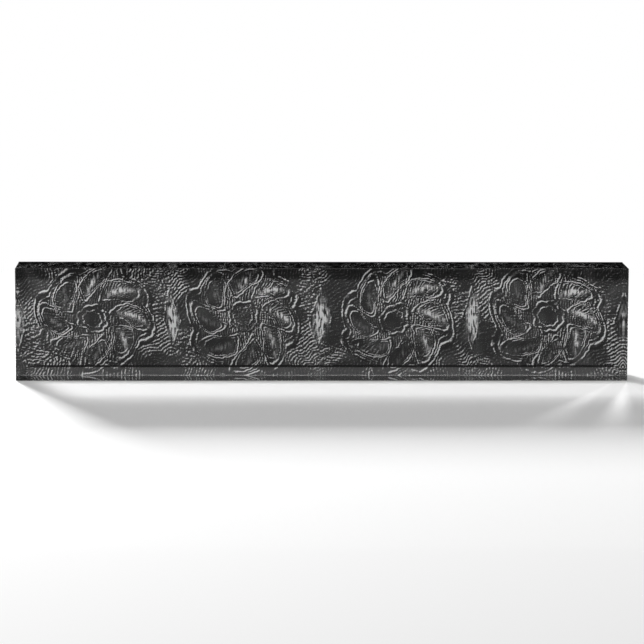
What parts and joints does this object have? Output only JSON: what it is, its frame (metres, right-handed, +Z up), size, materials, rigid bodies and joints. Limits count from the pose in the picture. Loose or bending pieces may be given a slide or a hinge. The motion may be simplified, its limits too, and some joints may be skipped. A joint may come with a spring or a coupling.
{
  "type": "desk name plate",
  "caption": "Free-standing desk name plate: a thick clear acrylic block with bevelled back edges, a dark ornamental film laid over its back and bevels, and a black backing sheet.",
  "frame": {"origin": "middle of the whole object's footprint, on the plane of the desk that the block stands on", "axes": "+Z up, +X along the plate to the reader's right, -Y out of the front face towards the reader, +Y towards the backing sheet"},
  "size_m": [0.27, 0.029, 0.05],
  "materials": {
    "clear_acrylic": "clear cast acrylic, polished on every face",
    "clear_adhesive": "clear transfer adhesive, bubble-free",
    "printed_vinyl": "film printed in charcoal, black and silver grey",
    "black_backing": "satin black sheet with a fine grain"
  },
  "bodies": {
    "root": {"acrylic_block": "clear_acrylic", "adhesive_layer": "clear_adhesive", "printed_film": "printed_vinyl", "backing_sheet": "black_backing"}
  },
  "joints": []
}
